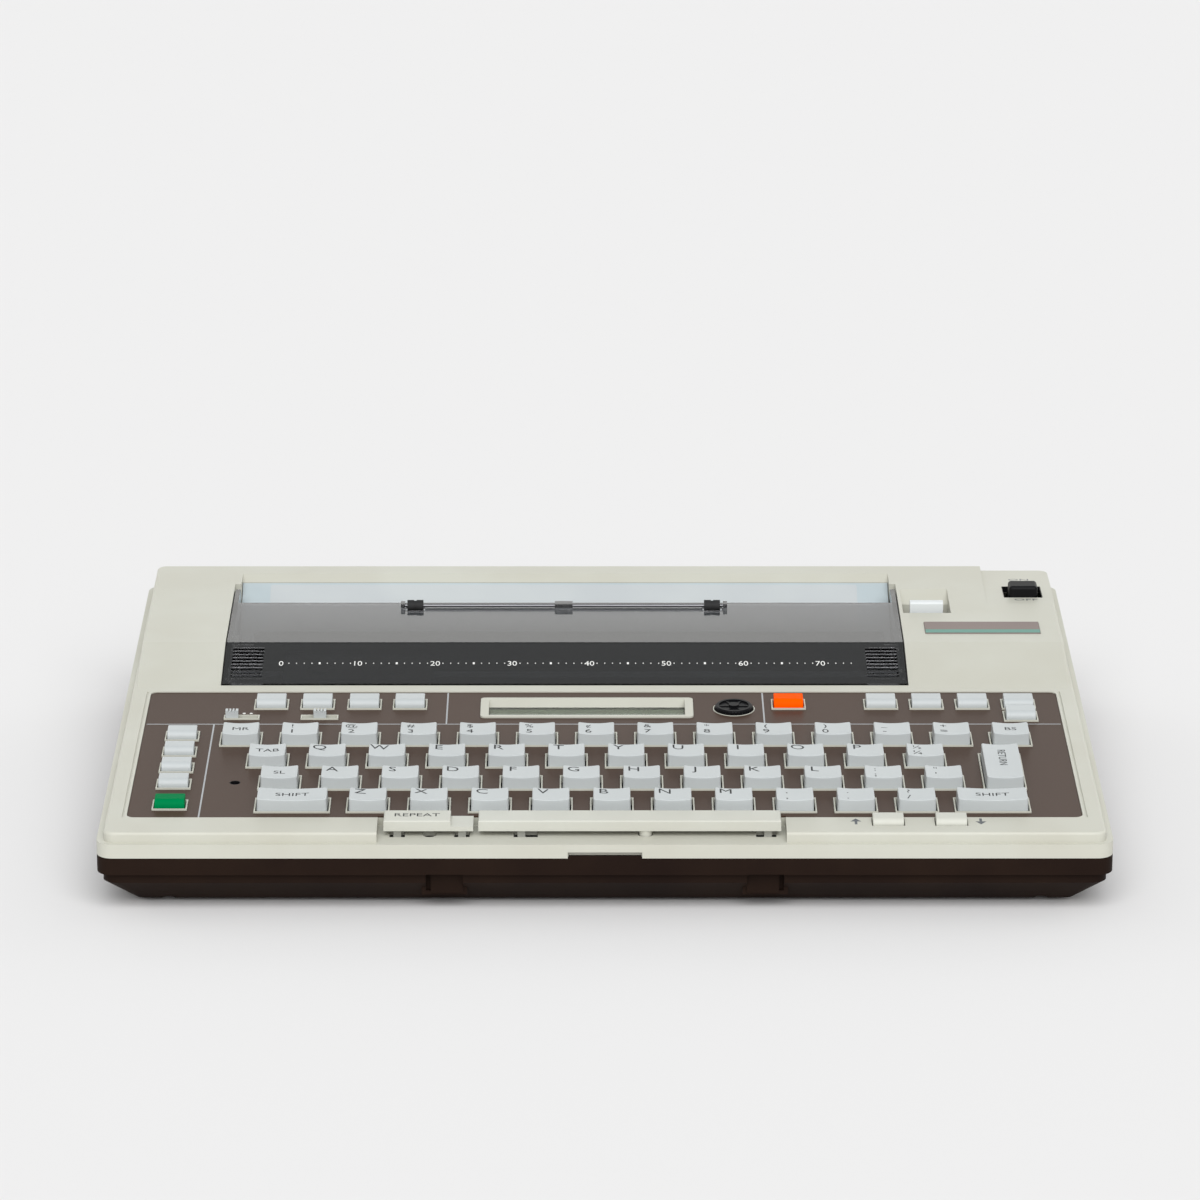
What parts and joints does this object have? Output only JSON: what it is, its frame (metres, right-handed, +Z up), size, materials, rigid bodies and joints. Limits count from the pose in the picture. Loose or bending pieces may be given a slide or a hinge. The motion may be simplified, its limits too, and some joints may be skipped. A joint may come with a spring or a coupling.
{
  "type": "portable electronic typewriter",
  "caption": "Slim wedge-shaped portable electronic typewriter with a cream deck, brown keyboard plate, smoked print cover and dark bottom case.",
  "frame": {"origin": "centre of the machine's outline on the surface that its rubber feet rest on", "axes": "+X to the typist's right, +Y towards the back edge with the paper lip, +Z up"},
  "size_m": [0.3148, 0.2382, 0.049],
  "materials": {
    "cream_plastic": "moulded with a fine spark texture",
    "key_plastic": "satin",
    "orange_plastic": "satin",
    "green_plastic": "satin",
    "brown_plastic": "satin",
    "case_plastic": "fine texture",
    "black_plastic": "satin",
    "grey_plastic": "satin",
    "guide_plastic": "satin",
    "smoked_plastic": "clear smoked",
    "display_glass": "glossy",
    "lamp_plastic": "glossy",
    "rubber": "matte",
    "steel": "bright",
    "sheet_metal": "zinc plated",
    "board_laminate": "lacquered",
    "plate_aluminium": "anodised"
  },
  "bodies": {
    "case": {"top_cover": "cream_plastic", "keyboard_plate": "brown_plastic", "bottom_case": "case_plastic", "rubber_feet": "rubber", "case_screws": "steel", "paper_guide": "guide_plastic", "power_switch": "grey_plastic", "badge_plate": "plate_aluminium", "display_window": "display_glass", "display_module": "black_plastic", "indicator_lamp": "lamp_plastic", "printer_frame": "sheet_metal", "stepper_motors": "sheet_metal", "guide_rod": "steel", "battery_contacts": "steel", "power_jack": "black_plastic", "keyboard_board": "board_laminate", "dome_sheet": "grey_plastic", "main_board": "board_laminate"},
    "print_cover": {"print_cover": "smoked_plastic", "bail_rod": "steel"},
    "bail_rollers": {"bail_rollers": "rubber"},
    "release_lever": {"release_lever": "key_plastic"},
    "power_knob": {"power_knob": "black_plastic"},
    "slide_knob_left": {"slide_knob_left": "key_plastic"},
    "slide_knob_right": {"slide_knob_right": "key_plastic"},
    "contrast_dial": {"contrast_dial": "black_plastic"},
    "battery_door": {"battery_door": "case_plastic"},
    "platen": {"platen_roller": "rubber", "platen_shaft": "steel"},
    "motor_pinion": {"motor_pinion": "steel"},
    "lead_screw": {"lead_screw": "steel"},
    "carriage": {"carriage": "black_plastic", "ribbon_cassette": "black_plastic"},
    "keys_number_row": {"keys_number_row": "key_plastic"},
    "keys_upper_row": {"keys_upper_row": "key_plastic"},
    "keys_home_row": {"keys_home_row": "key_plastic"},
    "keys_lower_row": {"keys_lower_row": "key_plastic"},
    "shift_key_left": {"shift_key_left": "key_plastic"},
    "shift_key_right": {"shift_key_right": "key_plastic"},
    "return_key": {"return_key": "key_plastic"},
    "function_key_1": {"function_key_1": "key_plastic"},
    "function_key_2": {"function_key_2": "key_plastic"},
    "function_key_3": {"function_key_3": "key_plastic"},
    "function_key_4": {"function_key_4": "key_plastic"},
    "function_key_5": {"function_key_5": "key_plastic"},
    "function_key_6": {"function_key_6": "key_plastic"},
    "function_key_7": {"function_key_7": "key_plastic"},
    "function_key_8": {"function_key_8": "key_plastic"},
    "function_key_9": {"function_key_9": "key_plastic"},
    "clear_key": {"clear_key": "orange_plastic"},
    "code_key": {"code_key": "green_plastic"},
    "mode_key_1": {"mode_key_1": "key_plastic"},
    "mode_key_2": {"mode_key_2": "key_plastic"},
    "mode_key_3": {"mode_key_3": "key_plastic"},
    "mode_key_4": {"mode_key_4": "key_plastic"},
    "paper_up_key": {"paper_up_key": "key_plastic"},
    "paper_down_key": {"paper_down_key": "key_plastic"},
    "repeat_key": {"repeat_key": "key_plastic"},
    "space_bar": {"space_bar": "key_plastic"}
  },
  "joints": [
    {"name": "keys_number_row_press", "type": "slide", "parent": "case", "child": "keys_number_row", "axis": [0, 0.0698, -0.9976], "range_m": [0, 0.0022], "stiffness_N_per_m": 150, "springref_m": -0.0015, "deforming": ["dome_sheet"]},
    {"name": "keys_upper_row_press", "type": "slide", "parent": "case", "child": "keys_upper_row", "axis": [0, 0.0698, -0.9976], "range_m": [0, 0.0022], "stiffness_N_per_m": 150, "springref_m": -0.0015, "deforming": ["dome_sheet"]},
    {"name": "keys_home_row_press", "type": "slide", "parent": "case", "child": "keys_home_row", "axis": [0, 0.0698, -0.9976], "range_m": [0, 0.0022], "stiffness_N_per_m": 150, "springref_m": -0.0015, "deforming": ["dome_sheet"]},
    {"name": "keys_lower_row_press", "type": "slide", "parent": "case", "child": "keys_lower_row", "axis": [0, 0.0698, -0.9976], "range_m": [0, 0.0022], "stiffness_N_per_m": 150, "springref_m": -0.0015, "deforming": ["dome_sheet"]},
    {"name": "shift_key_left_press", "type": "slide", "parent": "case", "child": "shift_key_left", "axis": [0, 0.0698, -0.9976], "range_m": [0, 0.0022], "stiffness_N_per_m": 60, "springref_m": -0.0015, "deforming": ["dome_sheet"]},
    {"name": "shift_key_right_press", "type": "slide", "parent": "case", "child": "shift_key_right", "axis": [0, 0.0698, -0.9976], "range_m": [0, 0.0022], "stiffness_N_per_m": 60, "springref_m": -0.0015, "deforming": ["dome_sheet"]},
    {"name": "return_key_press", "type": "slide", "parent": "case", "child": "return_key", "axis": [0, 0.0698, -0.9976], "range_m": [0, 0.0022], "stiffness_N_per_m": 60, "springref_m": -0.0015, "deforming": ["dome_sheet"]},
    {"name": "function_key_1_press", "type": "slide", "parent": "case", "child": "function_key_1", "axis": [0, 0.0698, -0.9976], "range_m": [0, 0.0022], "stiffness_N_per_m": 60, "springref_m": -0.0015, "deforming": ["dome_sheet"]},
    {"name": "function_key_2_press", "type": "slide", "parent": "case", "child": "function_key_2", "axis": [0, 0.0698, -0.9976], "range_m": [0, 0.0022], "stiffness_N_per_m": 60, "springref_m": -0.0015, "deforming": ["dome_sheet"]},
    {"name": "function_key_3_press", "type": "slide", "parent": "case", "child": "function_key_3", "axis": [0, 0.0698, -0.9976], "range_m": [0, 0.0022], "stiffness_N_per_m": 60, "springref_m": -0.0015, "deforming": ["dome_sheet"]},
    {"name": "function_key_4_press", "type": "slide", "parent": "case", "child": "function_key_4", "axis": [0, 0.0698, -0.9976], "range_m": [0, 0.0022], "stiffness_N_per_m": 60, "springref_m": -0.0015, "deforming": ["dome_sheet"]},
    {"name": "function_key_5_press", "type": "slide", "parent": "case", "child": "function_key_5", "axis": [0, 0.0698, -0.9976], "range_m": [0, 0.0022], "stiffness_N_per_m": 60, "springref_m": -0.0015, "deforming": ["dome_sheet"]},
    {"name": "function_key_6_press", "type": "slide", "parent": "case", "child": "function_key_6", "axis": [0, 0.0698, -0.9976], "range_m": [0, 0.0022], "stiffness_N_per_m": 60, "springref_m": -0.0015, "deforming": ["dome_sheet"]},
    {"name": "function_key_7_press", "type": "slide", "parent": "case", "child": "function_key_7", "axis": [0, 0.0698, -0.9976], "range_m": [0, 0.0022], "stiffness_N_per_m": 60, "springref_m": -0.0015, "deforming": ["dome_sheet"]},
    {"name": "function_key_8_press", "type": "slide", "parent": "case", "child": "function_key_8", "axis": [0, 0.0698, -0.9976], "range_m": [0, 0.0022], "stiffness_N_per_m": 60, "springref_m": -0.0015, "deforming": ["dome_sheet"]},
    {"name": "function_key_9_press", "type": "slide", "parent": "case", "child": "function_key_9", "axis": [0, 0.0698, -0.9976], "range_m": [0, 0.0022], "stiffness_N_per_m": 60, "springref_m": -0.0015, "deforming": ["dome_sheet"]},
    {"name": "clear_key_press", "type": "slide", "parent": "case", "child": "clear_key", "axis": [0, 0.0698, -0.9976], "range_m": [0, 0.0022], "stiffness_N_per_m": 60, "springref_m": -0.0015, "deforming": ["dome_sheet"]},
    {"name": "code_key_press", "type": "slide", "parent": "case", "child": "code_key", "axis": [0, 0.0698, -0.9976], "range_m": [0, 0.0022], "stiffness_N_per_m": 60, "springref_m": -0.0015, "deforming": ["dome_sheet"]},
    {"name": "mode_key_1_press", "type": "slide", "parent": "case", "child": "mode_key_1", "axis": [0, 0.0698, -0.9976], "range_m": [0, 0.0022], "stiffness_N_per_m": 60, "springref_m": -0.0015, "deforming": ["dome_sheet"]},
    {"name": "mode_key_2_press", "type": "slide", "parent": "case", "child": "mode_key_2", "axis": [0, 0.0698, -0.9976], "range_m": [0, 0.0022], "stiffness_N_per_m": 60, "springref_m": -0.0015, "deforming": ["dome_sheet"]},
    {"name": "mode_key_3_press", "type": "slide", "parent": "case", "child": "mode_key_3", "axis": [0, 0.0698, -0.9976], "range_m": [0, 0.0022], "stiffness_N_per_m": 60, "springref_m": -0.0015, "deforming": ["dome_sheet"]},
    {"name": "mode_key_4_press", "type": "slide", "parent": "case", "child": "mode_key_4", "axis": [0, 0.0698, -0.9976], "range_m": [0, 0.0022], "stiffness_N_per_m": 60, "springref_m": -0.0015, "deforming": ["dome_sheet"]},
    {"name": "paper_up_key_press", "type": "slide", "parent": "case", "child": "paper_up_key", "axis": [0, 0.0698, -0.9976], "range_m": [0, 0.0022], "stiffness_N_per_m": 60, "springref_m": -0.0015, "deforming": ["dome_sheet"]},
    {"name": "paper_down_key_press", "type": "slide", "parent": "case", "child": "paper_down_key", "axis": [0, 0.0698, -0.9976], "range_m": [0, 0.0022], "stiffness_N_per_m": 60, "springref_m": -0.0015, "deforming": ["dome_sheet"]},
    {"name": "repeat_key_press", "type": "slide", "parent": "case", "child": "repeat_key", "axis": [0, 0.0698, -0.9976], "range_m": [0, 0.0016], "stiffness_N_per_m": 60, "springref_m": -0.0015, "deforming": ["dome_sheet"]},
    {"name": "space_bar_press", "type": "slide", "parent": "case", "child": "space_bar", "axis": [0, 0.0698, -0.9976], "range_m": [0, 0.0016], "stiffness_N_per_m": 60, "springref_m": -0.0015, "deforming": ["dome_sheet"]},
    {"name": "print_cover_hinge", "type": "hinge", "parent": "case", "child": "print_cover", "pos_m": [0, 0.09109, 0.04141], "axis": [-1, 0, 0], "range_deg": [0, 95]},
    {"name": "bail_roller_spin", "type": "hinge", "parent": "print_cover", "child": "bail_rollers", "pos_m": [0, 0.07228, 0.04526], "axis": [1, 0, 0], "continuous": true},
    {"name": "release_lever_rock", "type": "hinge", "parent": "case", "child": "release_lever", "pos_m": [0.1105, 0.07356, 0.03407], "axis": [-1, 0, 0], "range_deg": [0, 40]},
    {"name": "power_knob_slide", "type": "slide", "parent": "case", "child": "power_knob", "axis": [0, 0.9976, 0.0698], "range_m": [0, 0.0052]},
    {"name": "slide_knob_left_slide", "type": "slide", "parent": "case", "child": "slide_knob_left", "axis": [1, 0, 0], "range_m": [0, 0.0063]},
    {"name": "slide_knob_right_slide", "type": "slide", "parent": "case", "child": "slide_knob_right", "axis": [1, 0, 0], "range_m": [-0.0036, 0.0033]},
    {"name": "contrast_dial_turn", "type": "hinge", "parent": "case", "child": "contrast_dial", "pos_m": [0.0425, -0.00982, 0.03376], "axis": [0, -0.0698, 0.9976], "range_deg": [-150, 150]},
    {"name": "battery_door_slide", "type": "slide", "parent": "case", "child": "battery_door", "axis": [0, 1, 0], "range_m": [0, 0.04]},
    {"name": "platen_turn", "type": "hinge", "parent": "case", "child": "platen", "pos_m": [0, 0.0633, 0.03035], "axis": [1, 0, 0], "continuous": true},
    {"name": "motor_pinion_turn", "type": "hinge", "parent": "case", "child": "motor_pinion", "pos_m": [0.136, 0.05243, 0.0209], "axis": [1, 0, 0], "continuous": true},
    {"name": "lead_screw_turn", "type": "hinge", "parent": "case", "child": "lead_screw", "pos_m": [0, 0.04586, 0.02161], "axis": [1, 0, 0], "range_deg": [0, 5580]},
    {"name": "carriage_slide", "type": "slide", "parent": "case", "child": "carriage", "axis": [1, 0, 0], "range_m": [0, 0.185]}
  ],
  "couplings": [
    {"joint": "motor_pinion_turn", "follows": "platen_turn", "ratio": -2},
    {"joint": "lead_screw_turn", "follows": "carriage_slide", "rad_per_m": 523.6}
  ]
}
